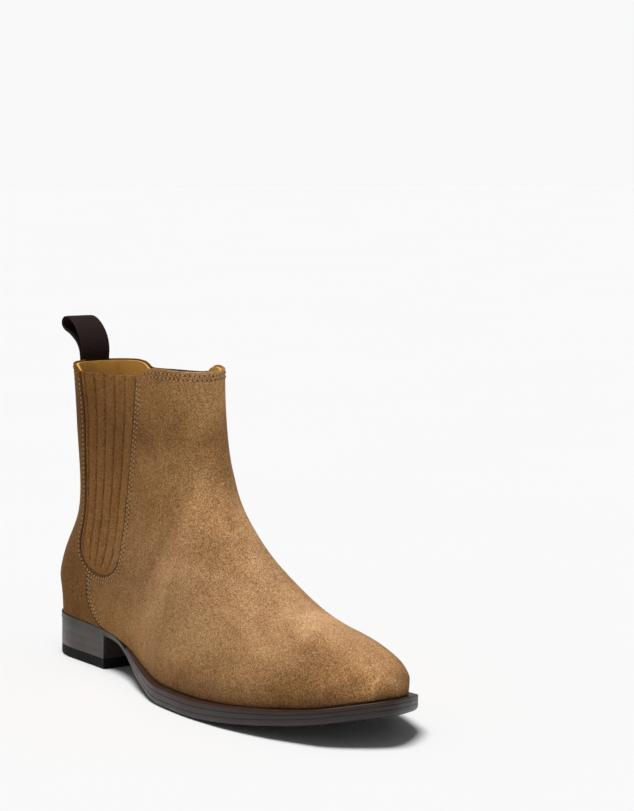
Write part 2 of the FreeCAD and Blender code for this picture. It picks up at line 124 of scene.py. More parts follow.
def round_off(t, power=2.0, root=2.0):
    """0 to 1 as a superellipse quarter."""
    return (1 - (1 - np.clip(t, 0, 1)) ** power) ** (1 / root)


def spline_line(points, samples=500):
    """Even samples along a natural cubic spline through (x, z) points."""
    p = np.array(points, float)
    t = run_of(p)
    h = np.diff(t)
    n = len(p)
    a = np.eye(n)
    b = np.zeros((n, p.shape[1]))
    for i in range(1, n - 1):
        a[i, i - 1] = h[i - 1]
        a[i, i] = 2 * (h[i - 1] + h[i])
        a[i, i + 1] = h[i]
        b[i] = 6 * ((p[i + 1] - p[i]) / h[i] - (p[i] - p[i - 1]) / h[i - 1])
    m = np.linalg.solve(a, b)
    s = np.linspace(0, t[-1], samples * 2)
    i = np.clip(np.searchsorted(t, s) - 1, 0, n - 2)
    u = (s - t[i])[:, None]
    w = (t[i + 1] - s)[:, None]
    g = h[i][:, None]
    line = (m[i] * w**3 + m[i + 1] * u**3) / (6 * g)
    line = line + (p[i] / g - m[i] * g / 6) * w + (p[i + 1] / g - m[i + 1] * g / 6) * u
    return even(line, samples)


def even(line, samples):
    """The same line with its points evenly spaced."""
    run = run_of(line)
    return sample(np.linspace(0, run[-1], samples), run, line)


def along(line, t):
    """Points at fractions t of an evenly spaced line."""
    place = np.clip(np.asarray(t, float), 0, 1) * (len(line) - 1)
    return sample(place, np.arange(len(line)), line)


# ---------------------------------------------------------------- the boot's shape, as in the CAD
BACK = [(-2.8, 25), (-3.8, 37), (-5, 47), (-0.8, 61), (7.8, 76.3), (15.3, 90.4), (17.5, 107.5),
        (16.4, 132.5), (13.1, 162.4), (9.8, 197.4)]
FRONT = [(297.0, 23.3), (297.0, 29.8), (293.2, 37.6), (283.9, 43.9), (267.2, 49.4), (241, 53.4),
         (214, 59), (192.5, 68.6), (172.5, 83), (157.8, 98.3), (145.5, 116.4), (139.9, 133.8),
         (137.3, 150.7), (135.5, 170.7), (134.2, 200.5)]
sole_top = smooth_curve([(-6, 25), (20, 24.8), (40, 24.3), (55, 23.8), (67, 23.2), (85, 21.1),
                         (110, 17), (135, 12.6), (160, 10.5), (190, 10.3), (215, 11.5), (245, 14.2),
                         (275, 18), (305, 24.6)])
sole_bottom = smooth_curve([(-6, 21.2), (20, 21), (40, 20.6), (55, 20.3), (67, 20), (85, 17.4),
                            (96, 14), (110, 9.4), (125, 5.6), (140, 2.6), (152, 0.8), (162, 0),
                            (194, 0), (215, 1.5), (245, 5), (275, 9.6), (305, 16.2)])
outer_half = smooth_curve([(0, 27.4), (25, 27.6), (67, 28.2), (95, 31.2), (125, 38.5), (160, 47),
                           (190, 48.5), (215, 47), (245, 41.5), (270, 33), (285, 25.5), (294, 19),
                           (300, 14)])
inner_half = smooth_curve([(0, 28), (25, 28.2), (67, 27.6), (95, 25), (125, 26.5), (160, 36.5),
                           (190, 44), (215, 45.5), (245, 42), (270, 34.5), (285, 27), (294, 20.5),
                           (300, 15)])
shaft_half = smooth_curve([(20, 30.8), (60, 30.2), (90, 27), (120, 26), (150, 25.6), (200, 27.5)])
outer_sole = smooth_curve([(-5, 28.4), (25, 28.5), (67, 29), (95, 32.4), (125, 41.8), (160, 51.2),
                           (190, 53), (215, 51.8), (245, 46.5), (270, 38), (285, 31), (295, 24.5),
                           (305, 18)])
inner_sole = smooth_curve([(-5, 29), (25, 29.1), (67, 28.5), (95, 26), (125, 28.5), (160, 40),
                           (190, 48.5), (215, 50.5), (245, 46.5), (270, 38.5), (285, 32),
                           (295, 26), (305, 19)])
topline = smooth_curve([(-20, 175.8), (20, 175.5), (27, 174.4), (34, 171.3), (60, 172.2),
                        (96.5, 174.2), (103.5, 177.9), (112, 179), (136, 178.2), (160, 178)])
GUSSET_BACK = [(34.6, 171.2), (39.6, 140), (41.4, 108), (41.6, 90), (40, 74), (41.5, 65.5),
               (48.5, 58.2)]
GUSSET_FRONT = [(96.4, 174.2), (92.6, 140), (90, 115), (87.5, 95), (86.2, 76), (84.8, 66),
                (79.5, 59.6), (68.8, 55.3)]
GUSSET_LOW = (58.5, 54.9)
SIDE_SEAM = [(47.3, 51), (47.4, 41.8), (49, 35.7), (53, 30.5), (58.5, 26.4), (66, 23.7)]
SOLE_FRONT = 305.0

back_line = spline_line(BACK)
front_line = spline_line(FRONT, 700)
ridge_line = front_line[30:]


def nearest(line, x, z):
    """Distance to a polyline, and the height, position and levelness of its closest point."""
    a = line[:-1]
    d = line[1:] - a
    length = np.linalg.norm(d, axis=1)
    q = np.stack([x, z], -1)
    gap = np.empty(len(q))
    spot = np.empty((len(q), 2))
    level = np.empty(len(q))
    for start in range(0, len(q), 4000):
        part = q[start:start + 4000]
        t = np.clip(((part[:, None] - a) * d).sum(-1) / length**2, 0, 1)
        c = a + d * t[..., None]
        g = np.linalg.norm(part[:, None] - c, axis=-1)
        i = g.argmin(1)
        rows = np.arange(len(part))
        gap[start:start + 4000] = g[rows, i]
        spot[start:start + 4000] = c[rows, i]
        level[start:start + 4000] = np.abs(d[i, 0]) / length[i]
    return gap, spot[:, 0], spot[:, 1], level


# How the upper's cross sections change: the shaft's rounding, where the shaft's own width takes
# over from the foot's, and the roundings of the toe's tip and of the heel.
SHAFT_RADIUS = 52
LEAST_RADIUS = 12.0
RIDGE_POWER = 2.15
SHAFT_RISE = 70
TOE_TIP = 300
TOE_ROUND = 26
HEEL_ROUND = 36
SHAFT_BACK_ROUND = 24
VAMP_BULGE = 0.035


def half_width(x, z, lateral):
    """Half width of the upper at side-view points."""
    shape = x.shape
    x = x.ravel()
    z = z.ravel()
    front_gap, ridge_x, ridge_z, level = nearest(ridge_line[::2], x, z)
    back_gap = nearest(back_line[::2], x, z)[0]
    shaft = ease((ridge_z - 85) / 60)
    radius = (ridge_z - sole_top(ridge_x)) * np.maximum(level, 0.35) * (1 - shaft)
    radius = radius + SHAFT_RADIUS * shaft
    radius = np.maximum(radius, LEAST_RADIUS)
    level_x = np.clip(x, 0, TOE_TIP)
    foot = (outer_half if lateral else inner_half)(level_x)
    height = z - sole_top(level_x)
    rise = ease(height / SHAFT_RISE)
    behind = foot * (1 - rise) + shaft_half(np.clip(z, 20, 200)) * rise
    ahead = ease((x - 105) / 85)
    width = foot * ahead + behind * (1 - ahead)
    tip = np.where(x > 250, round_off((TOE_TIP - x) / TOE_ROUND, 2, 1.9), 1.0)
    turn = ease((z - 80) / 60)
    power = 2.5 * (1 - turn) + 2.6 * turn
    heel = round_off(back_gap / (HEEL_ROUND * (1 - turn) + SHAFT_BACK_ROUND * turn), power)
    low_side = np.sin(np.pi * np.clip(height / 34, 0, 1))
    bulge = 1 + VAMP_BULGE * low_side * ease((x - 120) / 60)
    return (width * round_off(front_gap / radius, RIDGE_POWER) * tip * heel * bulge).reshape(shape)


BASE = 81
RELAX_ROUNDS = 500


def patch(left, right, top, bottom, across, down):
    """Side-view grid (down, across, 2) filling four evenly spaced boundary lines."""
    even_steps = np.linspace(0, 1, BASE)
    s = even_steps[None, :, None]
    t = even_steps[:, None, None]
    corners = ((1 - s) * (1 - t) * left[0] + s * (1 - t) * right[0]
               + (1 - s) * t * left[-1] + s * t * right[-1])
    g = ((1 - s) * along(left, even_steps)[:, None] + s * along(right, even_steps)[:, None]
         + (1 - t) * along(top, even_steps)[None] + t * along(bottom, even_steps)[None] - corners)
    # Relax the inner lines so that no cell folds over (an elliptic grid).
    for _ in range(RELAX_ROUNDS):
        gs = (g[1:-1, 2:] - g[1:-1, :-2]) / 2
        gt = (g[2:, 1:-1] - g[:-2, 1:-1]) / 2
        a = (gt**2).sum(-1, keepdims=True)
        b = (gs * gt).sum(-1, keepdims=True)
        c = (gs**2).sum(-1, keepdims=True)
        cross = g[2:, 2:] - g[2:, :-2] - g[:-2, 2:] + g[:-2, :-2]
        side_sum = a * (g[1:-1, 2:] + g[1:-1, :-2]) + c * (g[2:, 1:-1] + g[:-2, 1:-1])
        g[1:-1, 1:-1] = (side_sum - 0.5 * b * cross) / (2 * (a + c))
    rows = np.stack([np.stack([np.interp(down, even_steps, g[:, i, k]) for i in range(BASE)], -1)
                     for k in range(2)], -1)
    grid = np.stack([np.stack([np.interp(across, even_steps, row[:, k]) for row in rows])
                     for k in range(2)], -1)
    # The boundary itself stays exact; its small difference fades out inwards.
    for index, line, steps in ((0, top, across), (-1, bottom, across)):
        miss = along(line, steps) - grid[index]
        fade = np.exp(-np.abs(down - down[index]) * 40)[:, None, None]
        grid = grid + miss[None] * fade
    for index, line, steps in ((0, left, down), (-1, right, down)):
        miss = along(line, steps) - grid[:, index]
        fade = np.exp(-np.abs(across - across[index]) * 40)[None, :, None]
        grid = grid + miss[:, None] * fade
    return grid


def spaced(count, first, last, extra=()):
    """Fractions from 0 to 1 with close lines near both ends, and at the extra places."""
    near = np.array([0, 0.25, 0.6, 1.0])
    body = np.linspace(first, 1 - last, count)
    return np.unique(np.round(np.concatenate([near * first, body, 1 - near * last, extra]), 6))


def both_sides(grid, pole_last):
    """3-D grid over both sides of the boot, joined where the side-view grid meets its pole."""
    sides = []
    for lateral in (True, False):
        half = half_width(grid[..., 0], grid[..., 1], lateral)
        half[:, -1 if pole_last else 0] = 0
        y = -half if lateral else half
        sides.append(np.stack([grid[..., 0], y, grid[..., 1]], -1))
    return np.concatenate([sides[0], sides[1][:, -2::-1]], 1)


def normals_of(points):
    """Outward unit normals of a (down, across, 3) grid that runs from lateral to medial."""
    du = np.gradient(points, axis=1)
    dv = np.gradient(points, axis=0)
    n = np.cross(du, dv)
    length = np.linalg.norm(n, axis=-1, keepdims=True)
    n = n / np.maximum(length, 1e-9)
    centre = points.mean((0, 1))
    facing = ((points - centre) * n).sum(-1).mean()
    return n if facing > 0 else -n


def edge_round(points, radius, edges):
    """How far each point drops so that the named edges of a grid are rounded."""
    along_s = np.linalg.norm(np.diff(points, axis=1), axis=-1)
    along_t = np.linalg.norm(np.diff(points, axis=0), axis=-1)
    from_left = np.concatenate([np.zeros((len(points), 1)), np.cumsum(along_s, 1)], 1)
    from_top = np.concatenate([np.zeros((1, points.shape[1])), np.cumsum(along_t, 0)], 0)
    distance = np.full(points.shape[:2], 1e3)
    if "left" in edges:
        distance = np.minimum(distance, from_left)
    if "right" in edges:
        distance = np.minimum(distance, from_left[:, -1:] - from_left)
    if "top" in edges:
        distance = np.minimum(distance, from_top)
    if "bottom" in edges:
        distance = np.minimum(distance, from_top[-1:] - from_top)
    d = np.clip(radius - distance, 0, radius)
    return radius - np.sqrt(np.maximum(radius**2 - d**2, 0))


# ---------------------------------------------------------------- mesh helpers
def to_row(points):
    """Millimetres from the heel's back to metres in the row frame."""
    p = np.array(points, float) * MM
    p[..., 0] += HEEL_BACK
    return p


def placed(name, data):
    """A new object in the scene."""
    obj = bpy.data.objects.new(name, data)
    bpy.context.scene.collection.objects.link(obj)
    return obj


def mesh_object(name, points, faces, material):
    """A new smooth-shaded object from points in millimetres."""
    mesh = bpy.data.meshes.new(name)
    mesh.from_pydata([tuple(p) for p in to_row(points)], [], faces)
    mesh.validate()
    mesh.shade_smooth()
    mesh.materials.append(material)
    return placed(name, mesh)


def grid_faces(rows, columns, offset=0, flip=False):
    index = np.arange(rows * columns).reshape(rows, columns) + offset
    quads = np.stack([index[:-1, :-1], index[1:, :-1], index[1:, 1:], index[:-1, 1:]], -1)
    quads = quads.reshape(-1, 4)
    return (quads[:, ::-1] if flip else quads).tolist()


def panel(name, outer, inner, material):
    """Closed skin between an outer and an inner grid."""
    rows, columns = outer.shape[:2]
    count = rows * columns
    points = np.concatenate([outer.reshape(-1, 3), inner.reshape(-1, 3)])
    index = np.arange(count).reshape(rows, columns)
    rim = np.concatenate([index[0, :-1], index[:-1, -1], index[-1, :0:-1], index[:0:-1, 0]])
    faces = grid_faces(rows, columns) + grid_faces(rows, columns, count, True)
    for a, b in zip(rim, np.roll(rim, -1)):
        faces.append([int(a), int(b), int(b) + count, int(a) + count])
    obj = mesh_object(name, points, faces, material)
    fix_normals(obj)
    return obj


def fix_normals(obj):
    """Joins doubled points and turns every face outwards."""
    bm = bmesh.new()
    bm.from_mesh(obj.data)
    bmesh.ops.remove_doubles(bm, verts=bm.verts, dist=1e-6)
    bmesh.ops.recalc_face_normals(bm, faces=bm.faces)
    bm.to_mesh(obj.data)
    bm.free()
    obj.data.shade_smooth()


# ---------------------------------------------------------------- materials
def material(name, colour, roughness):
    m = bpy.data.materials.new(name)
    m.use_nodes = True
    shader = m.node_tree.nodes["Principled BSDF"]
    shader.inputs["Base Color"].default_value = (*colour, 1)
    shader.inputs["Roughness"].default_value = roughness
    return m, m.node_tree, shader


def node(tree, kind, **values):
    made = tree.nodes.new(kind)
    for key, value in values.items():
        if hasattr(made, key):
            setattr(made, key, value)
        else:
            made.inputs[key.replace("_", " ")].default_value = value
    return made


def coordinates(tree, scale=(1, 1, 1)):
    place = tree.nodes.new("ShaderNodeTexCoord")
    mapping = tree.nodes.new("ShaderNodeMapping")
    mapping.inputs["Scale"].default_value = scale
    tree.links.new(place.outputs["Object"], mapping.inputs["Vector"])
    return mapping.outputs["Vector"]


def noise(tree, where, scale, detail=3.0, roughness=0.5, distortion=0.0):
    made = node(tree, "ShaderNodeTexNoise", Scale=scale, Detail=detail, Roughness=roughness,
                Distortion=distortion)
    tree.links.new(where, made.inputs["Vector"])
    return made.outputs["Fac"]


def ramp(tree, value, stops):
    made = tree.nodes.new("ShaderNodeValToRGB")
    elements = made.color_ramp.elements
    while len(elements) < len(stops):
        elements.new(0.5)
    for element, (place, colour) in zip(elements, stops):
        element.position = place
        element.color = (*colour, 1) if len(colour) == 3 else colour
    tree.links.new(value, made.inputs["Fac"])
    return made.outputs["Color"]


def mix(tree, factor, a, b, kind="MIX"):
    made = node(tree, "ShaderNodeMix", data_type="RGBA", blend_type=kind)
    for value, slot_name in ((factor, 0), (a, 6), (b, 7)):
        if isinstance(value, (int, float)):
            made.inputs[slot_name].default_value = value
        elif isinstance(value, tuple):
            made.inputs[slot_name].default_value = (*value, 1)
        else:
            tree.links.new(value, made.inputs[slot_name])
    return made.outputs[2]


def bump(tree, shader, heights):
    """Chain of bumps: each entry is (height, strength, distance in metres)."""
    last = None
    for height, strength, distance in heights:
        made = node(tree, "ShaderNodeBump", Strength=strength, Distance=distance)
        tree.links.new(height, made.inputs["Height"])
        if last is not None:
            tree.links.new(last, made.inputs["Normal"])
        last = made.outputs["Normal"]
    tree.links.new(last, shader.inputs["Normal"])


def settings(shader, **values):
    """The shader's own sockets, named with _ for a space."""
    for name, value in values.items():
        shader.inputs[name.replace("_", " ")].default_value = value


def colour_of(tree, shader, value):
    tree.links.new(value, shader.inputs["Base Color"])


def grey(value):
    return (value, value, value)


# Painted light and shade on the suede, from place to place: darker low down, at the heel and toe, partway up
# the shaft and on the sides, lightest on the vamp's top and along its middle, as light from above falls:
# (axis, start, length in metres, tones).
PAINTED_LIGHT_BY_PLACE = [
    ("Z", 0.0, 0.2, [(0.06, (0.70, 0.64, 0.51)), (0.15, (0.96, 0.93, 0.85)), (0.24, (0.98, 0.97, 0.94)),
                     (0.36, (1.0, 1.0, 1.0)), (0.52, (0.92, 0.88, 0.78)), (0.70, (0.62, 0.57, 0.46)),
                     (0.86, (0.94, 0.90, 0.79))]),
    ("X", -0.03, 0.3, [(0.0, (0.56, 0.49, 0.37)), (0.26, (0.64, 0.58, 0.46)),
                       (0.36, (0.80, 0.76, 0.68)), (0.48, (1.0, 1.0, 1.0)), (0.80, (1.0, 1.0, 1.0)),
                       (0.91, (0.84, 0.80, 0.75)), (0.97, (0.90, 0.84, 0.76))]),
    ("Y", -0.05, 0.1, [(0.05, (0.54, 0.51, 0.46)), (0.25, (0.71, 0.685, 0.64)), (0.42, (1.0, 1.0, 1.0)),
                       (0.60, (1.0, 1.0, 1.0)), (0.95, (0.62, 0.59, 0.54))])]


def suede(name, light, dark, shade):
    """Napped suede: cloudy brushing marks, fine fibre speckle, a soft matte sheen, and painted light and
    shade by place and by the shade tint.
    """
    m, tree, shader = material(name, light, 0.95)
    where = coordinates(tree)
    cloud = noise(tree, where, 17, 4, 0.55, 0.9)
    strokes = noise(tree, coordinates(tree, (1.0, 1.4, 0.55)), 62, 4, 0.65, 0.6)
    fibre = noise(tree, where, 1150, 2, 0.75)
    speck = noise(tree, where, 2600, 2, 0.7)
    tuft = noise(tree, where, 420, 3, 0.7)
    middle = tuple((np.array(light) + np.array(dark)) / 2)
    napped = ramp(tree, cloud, [(0.32, dark), (0.50, middle), (0.68, light)])
    for pattern, share, low, high in ((strokes, 0.55, (0.33, 0.40), (0.67, 0.60)),
                                      (tuft, 0.5, (0.34, 0.36), (0.66, 0.63)),
                                      (fibre, 1.0, (0.34, 0.24), (0.66, 0.76)),
                                      (speck, 0.9, (0.36, 0.28), (0.66, 0.74))):
        stops = [(low[0], grey(low[1])), (high[0], grey(high[1]))]
        napped = mix(tree, share, napped, ramp(tree, pattern, stops), "OVERLAY")
    parts = tree.nodes.new("ShaderNodeSeparateXYZ")
    tree.links.new(where, parts.inputs["Vector"])
    # Painted light and shade: the colour is multiplied by tones over the boot's height, length and width.
    for axis, start, length, tones in PAINTED_LIGHT_BY_PLACE:
        place = node(tree, "ShaderNodeMapRange")
        tree.links.new(parts.outputs[axis], place.inputs["Value"])
        settings(place, From_Min=start, From_Max=start + length)
        napped = mix(tree, 1.0, napped, ramp(tree, place.outputs["Result"], tones), "MULTIPLY")
    # The shade tint makes darker copies of the suede: painted shade.
    with_painted_light_and_shade = mix(tree, 1.0, napped, shade, "MULTIPLY")
    colour_of(tree, shader, with_painted_light_and_shade)
    settings(shader, Specular_IOR_Level=0.05, Sheen_Weight=0.12, Sheen_Roughness=0.5,
             Sheen_Tint=(0.85, 0.55, 0.32, 1))
    bump(tree, shader, [(strokes, 0.3, 0.0012), (tuft, 0.45, 0.0006), (fibre, 0.6, 0.00035),
                        (speck, 0.4, 0.0002)])
    return m


SUEDE_LIGHT = (0.715, 0.430, 0.224)
SUEDE_DARK = (0.460, 0.254, 0.117)
# One suede in three copies: the heel quarter and the elastic sides get darker tints, painted shade for where
# less light falls.
suede_main = suede("suede", SUEDE_LIGHT, SUEDE_DARK, (1.0, 1.0, 1.0))
suede_back_painted_shade = suede("suede_heel_painted_shade", SUEDE_LIGHT, SUEDE_DARK, (0.72, 0.68, 0.58))
suede_cover_painted_shade = suede("suede_gusset_painted_shade", SUEDE_LIGHT, SUEDE_DARK, (0.96, 0.90, 0.80))


def leather(name, colour, roughness, coat=0.0, pore=0.3):
    """Smooth leather with soft tone changes and fine pores."""
    m, tree, shader = material(name, colour, roughness)
    where = coordinates(tree)
    cloud = noise(tree, where, 60, 4, 0.6, 0.4)
    grain = noise(tree, where, 700, 3, 0.6)
    low = tuple(np.array(colour) * 0.72)
    high = tuple(np.minimum(np.array(colour) * 1.25, 1))
    tone = ramp(tree, cloud, [(0.32, low), (0.55, colour), (0.75, high)])
    colour_of(tree, shader, tone)
    rough = ramp(tree, grain, [(0.3, grey(roughness * 0.85)), (0.7, grey(min(roughness * 1.2, 1)))])
    tree.links.new(rough, shader.inputs["Roughness"])
    settings(shader, Coat_Weight=coat, Coat_Roughness=0.25)
    bump(tree, shader, [(cloud, 0.15, 0.0005), (grain, pore, 0.00012)])
    return m


def edge_leather(name, colour, line_scale, streak, roughness, coat=0.15):
    """Stained, waxed edge of stacked leather, with fine level streaks."""
    m, tree, shader = material(name, colour, roughness)
    where = coordinates(tree, (1.0, 1.0, line_scale))
    fibre = noise(tree, where, 90, 4, 0.65, 0.3)
    plain = coordinates(tree)
    cloud = noise(tree, plain, 70, 3, 0.6)
    low = tuple(np.array(colour) * (1 - streak))
    high = tuple(np.array(colour) * (1 + streak))
    tone = ramp(tree, fibre, [(0.35, low), (0.52, colour), (0.68, high)])
    colour_of(tree, shader, mix(tree, 0.25, tone, ramp(tree, cloud, [(0.3, low), (0.7, high)])))
    rough = ramp(tree, cloud, [(0.3, grey(roughness * 0.8)), (0.7, grey(roughness * 1.2))])
    tree.links.new(rough, shader.inputs["Roughness"])
    settings(shader, Coat_Weight=coat, Coat_Roughness=0.3, Specular_IOR_Level=0.35)
    bump(tree, shader, [(fibre, 0.25, 0.0002), (cloud, 0.1, 0.0004)])
    return m


FULL_TURN = 6.2832


def woven(name, colour, pitch, roughness, sheen, lift=0.8):
    """Woven ribbon or webbing: crossing ribs over a fine yarn noise."""
    m, tree, shader = material(name, colour, roughness)
    where = coordinates(tree)
    bands = []
    for direction, distortion, detail in (("Z", 0.6, 2.0), ("Y", 0.4, 1.0)):
        wave = node(tree, "ShaderNodeTexWave", wave_type="BANDS", bands_direction=direction,
                    Scale=1 / pitch / FULL_TURN, Distortion=distortion, Detail=detail)
        tree.links.new(where, wave.inputs["Vector"])
        bands.append(wave.outputs["Color"])
    yarn = noise(tree, where, 1500, 2, 0.6)
    weave = mix(tree, 0.5, *bands)
    low = tuple(np.array(colour) * 0.55)
    high = tuple(np.array(colour) * 1.6)
    tone = ramp(tree, weave, [(0.2, low), (0.5, colour), (0.85, high)])
    colour_of(tree, shader, mix(tree, 0.3, tone, ramp(tree, yarn, [(0.3, low), (0.7, high)])))
    settings(shader, Sheen_Weight=sheen, Sheen_Roughness=0.35, Specular_IOR_Level=0.2)
    bump(tree, shader, [(weave, lift, 0.0002), (yarn, 0.3, 0.0001)])
    return m


lining_leather = leather("lining_leather", (0.98, 0.50, 0.085), 0.5, 0.05, 0.35)
sock_leather = leather("sock_leather", (0.56, 0.34, 0.14), 0.5, 0.0, 0.35)
board = leather("board", (0.45, 0.33, 0.21), 0.8)
elastic_web = woven("elastic", (0.012, 0.011, 0.011), 0.0011, 0.8, 0.2, 1.0)
ribbon = woven("ribbon", (0.019, 0.0075, 0.0062), 0.0007, 0.75, 0.02)
heel_stack = edge_leather("heel_stack", (0.029, 0.0210, 0.0150), 6, 0.10, 0.42, 0.15)
sole_edge = edge_leather("sole_edge", (0.026, 0.018, 0.0155), 7, 0.28, 0.45, 0.12)
welt_edge = edge_leather("welt_edge", (0.034, 0.0125, 0.006), 4, 0.25, 0.5, 0.1)


def speckled(name, roughness, grain, low, high, specular=0.5, raised=None):
    """A plain matt material between two tones. grain is (scale, detail, place of low, of high)."""
    m, tree, shader = material(name, high, roughness)
    scale, detail, low_place, high_place = grain
    pattern = noise(tree, coordinates(tree), scale, detail, 0.6 if raised == "pores" else 0.5)
    colour_of(tree, shader, ramp(tree, pattern, [(low_place, low), (high_place, high)]))
    settings(shader, Specular_IOR_Level=specular)
    if raised == "twist":
        bump(tree, shader, [(pattern, 0.5, 0.0002)])
    elif raised == "pores":
        bump(tree, shader, [(noise(tree, coordinates(tree), 900, 3, 0.6), 0.4, 0.0002)])
    return m


thread = speckled("thread", 0.85, (2500, 2, 0.3, 0.7), (0.36, 0.21, 0.095), (0.62, 0.40, 0.20),
                  raised="twist")
# Near-black paint for the shadow lines along the suede's cut edges.
edge_shadow_paint = speckled("edge_shadow_paint", 1.0, (900, 3, 0.3, 0.7), (0.055, 0.028, 0.012),
                     (0.15, 0.082, 0.038), 0.05)
# Needle holes: near-black paint standing in for the shade inside each hole.
hole = speckled("needle_hole_shade", 1.0, (1500, 2, 0.3, 0.7), (0.018, 0.010, 0.005), (0.045, 0.026, 0.013))
heel_rubber = speckled("rubber", 0.7, (120, 4, 0.35, 0.7), (0.005, 0.005, 0.005),
                       (0.011, 0.010, 0.009), 0.12, "pores")

# ---------------------------------------------------------------- the upper's side-view patches
SUEDE = 1.6
FRONT_TOP_X = 135.0
BACK_TOP_X = 13.0
front_top = front_line[::-1]
start = int(np.argmin(np.abs(front_top[:, 1] - topline(FRONT_TOP_X))))
vamp_ridge = even(front_top[start:], 700)
vamp_left = spline_line(GUSSET_FRONT + [GUSSET_LOW, GUSSET_BACK[-1]], 600)
top_x = np.linspace(GUSSET_FRONT[0][0], vamp_ridge[0, 0], 300)
vamp_top = even(np.stack([top_x, topline(top_x)], -1), 300)
vamp_top[-1] = vamp_ridge[0]
vamp_left[0] = vamp_top[0]
seam_line = spline_line([GUSSET_BACK[-1]] + SIDE_SEAM, 200)
sole_x = np.linspace(seam_line[-1, 0], vamp_ridge[-1, 0], 400)[1:]
sole_run = np.stack([sole_x, sole_top(sole_x)], -1)
sole_run[:, 1] += (vamp_ridge[-1, 1] - sole_run[-1, 1]) * ease((sole_x - 250) / 47)
vamp_bottom = even(np.concatenate([seam_line, sole_run]), 900)

quarter_left = back_line[::-1]
start = int(np.argmin(np.abs(quarter_left[:, 1] - topline(BACK_TOP_X))))
quarter_left = even(quarter_left[start:], 500)
quarter_right = even(np.concatenate([spline_line(GUSSET_BACK, 400), seam_line[1:]]), 600)
top_x = np.linspace(quarter_left[0, 0], GUSSET_BACK[0][0], 100)
quarter_top = np.stack([top_x, topline(top_x)], -1)
quarter_top[0] = quarter_left[0]
quarter_right[0] = quarter_top[-1]
low_x = np.linspace(quarter_left[-1, 0], quarter_right[-1, 0], 100)
quarter_bottom = np.stack([low_x, sole_top(low_x)], -1)
quarter_bottom[0] = quarter_left[-1]
quarter_bottom[-1] = quarter_right[-1]

gusset_left = spline_line(GUSSET_BACK + [GUSSET_LOW], 500)
gusset_right = spline_line(GUSSET_FRONT + [GUSSET_LOW], 500)
top_x = np.linspace(gusset_left[0, 0], gusset_right[0, 0], 120)
gusset_top = np.stack([top_x, topline(top_x)], -1)


def toward_ridge(s):
    return np.sin(np.pi / 2 * s)


vamp_grid = patch(vamp_left, vamp_ridge, vamp_top, vamp_bottom,
                  toward_ridge(spaced(120, 0.008, 0.004)), spaced(210, 0.006, 0.004))
quarter_grid = patch(quarter_right, quarter_left, quarter_top[::-1], quarter_bottom[::-1],
                     toward_ridge(spaced(60, 0.02, 0.01)), spaced(150, 0.008, 0.006))
vamp_outer = both_sides(vamp_grid, True)
quarter_outer = both_sides(quarter_grid, True)


shaft_joint = next(j for j in frame["joints"] if j["name"] == "shaft_opening")
axis_x = (shaft_joint["pos_m"][0] - HEEL_BACK) / MM
axis_z = shaft_joint["pos_m"][2] / MM
BREAK_WAY = unit(np.array([-0.24, 0.97]))
BREAK_SPAN = 46.0
BELOW_AXIS = 16.0
BREAK_LOW = np.array([axis_x, axis_z]) - BREAK_WAY * BELOW_AXIS
BREAK_HIGH = BREAK_LOW + BREAK_WAY * BREAK_SPAN


def blend_weight(x, z):
    """How far a point follows the shaft's front: 0 below the ankle break, 1 above it."""
    return ease(((x - BREAK_LOW[0]) * BREAK_WAY[0] + (z - BREAK_LOW[1]) * BREAK_WAY[1]) / BREAK_SPAN)


def ride_boot(obj):
    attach(obj, BOOT)


def bend_at_ankle(obj):
    """The front of the upper bends from the foot into the shaft's front."""
    low = to_row([BREAK_LOW[0], 0, BREAK_LOW[1]])
    high = to_row([BREAK_HIGH[0], 0, BREAK_HIGH[1]])
    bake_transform(obj, BOOT, SHAFT, start=tuple(low), end=tuple(high))


def stretch_panel(obj):
    """The elastic side keeps to the heel side behind and to the shaft's front ahead."""
    bend_at_ankle(obj)
    attribute = obj.data.attributes["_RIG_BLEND"]
    co = np.zeros(len(obj.data.vertices) * 3)
    obj.data.vertices.foreach_get("co", co)
    co = co.reshape(-1, 3)
    x = (co[:, 0] - HEEL_BACK) / MM
    z = co[:, 2] / MM
    t = np.linspace(0, 1, 400)
    back = along(gusset_left, t)
    front = along(gusset_right, t)
    x0 = np.interp(-z, -back[:, 1], back[:, 0])
    x1 = np.interp(-z, -front[:, 1], front[:, 0])
    share = np.clip((x - x0) / np.maximum(x1 - x0, 1e-3), 0, 1)
    weight = blend_weight(x1, z) * share
    attribute.data.foreach_set("value", weight.astype(np.float32))


def skin(outer, start, thickness, radius, edges, wobble=0.0):
    """Outer and inner grids of a layer that starts below the boot's outside."""
    n = normals_of(outer)
    drop = start + edge_round(outer, radius, edges)
    if wobble:
        p = outer / 24.0
        drop = drop + wobble * (np.sin(p[..., 0] * 2.1 + p[..., 2] * 1.3)
                                * np.sin(p[..., 2] * 1.7 - p[..., 0] * 0.8 + p[..., 1]))
    return outer - n * drop[..., None], outer - n * (start + thickness)


ALL_EDGES = ("left", "right", "top", "bottom")
SUEDE_EDGE = 0.8
SUEDE_WOBBLE = 0.15
for name, outer, mat, nodes, join in (
        ("vamp_suede", vamp_outer, suede_main, ("vamp", "vamp_shaft"), bend_at_ankle),
        ("quarter_suede", quarter_outer, suede_back_painted_shade, ("back_quarter",), ride_boot)):
    obj = panel(name, *skin(outer, 0.0, SUEDE, SUEDE_EDGE, ALL_EDGES, SUEDE_WOBBLE), mat)
    join(obj)
    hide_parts(*nodes)

